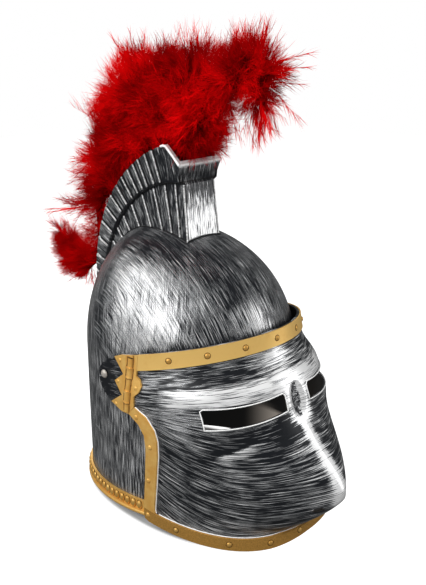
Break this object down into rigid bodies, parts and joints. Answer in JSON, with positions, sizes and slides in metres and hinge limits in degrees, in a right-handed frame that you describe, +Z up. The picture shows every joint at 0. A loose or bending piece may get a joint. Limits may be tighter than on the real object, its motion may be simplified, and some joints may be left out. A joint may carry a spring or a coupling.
{
  "type": "cavalry helmet",
  "caption": "Rounded costume helmet with a hinged beaked visor, eye slits, gold trims and a ribbed arched crest that holds a feather plume.",
  "frame": {"origin": "under the middle of the whole helmet's box, on the plane that the chin and the nape rest on", "axes": "+Z up, the face looks along -Y, +X is the wearer's left"},
  "size_m": [0.2276, 0.404, 0.462],
  "materials": {
    "skull_silver": "silver dry-brushed over black",
    "visor_silver": "silver dry-brushed over black",
    "crest_silver": "silver dry-brushed over black, with bright edges",
    "rim_gold": "satin gold paint, brown between the beads",
    "trim_gold": "satin gold paint",
    "rivet_pewter": "worn pewter",
    "plume_red": "soft red down"
  },
  "bodies": {
    "helmet": {"skull_shell": "skull_silver", "rim_band": "rim_gold", "crest_holder": "crest_silver", "plume": "plume_red", "pivot_rivet_right": "rivet_pewter", "pivot_rivet_left": "rivet_pewter"},
    "visor": {"visor_shell": "visor_silver", "brow_band": "trim_gold", "chin_band": "trim_gold", "cheek_band_right": "trim_gold", "cheek_band_left": "trim_gold", "hinge_right": "trim_gold", "hinge_left": "trim_gold"}
  },
  "joints": [
    {"name": "visor_pivot", "type": "hinge", "parent": "helmet", "child": "visor", "pos_m": [0, 0.0064, 0.15], "axis": [-1, 0, 0], "range_deg": [0, 50]}
  ]
}
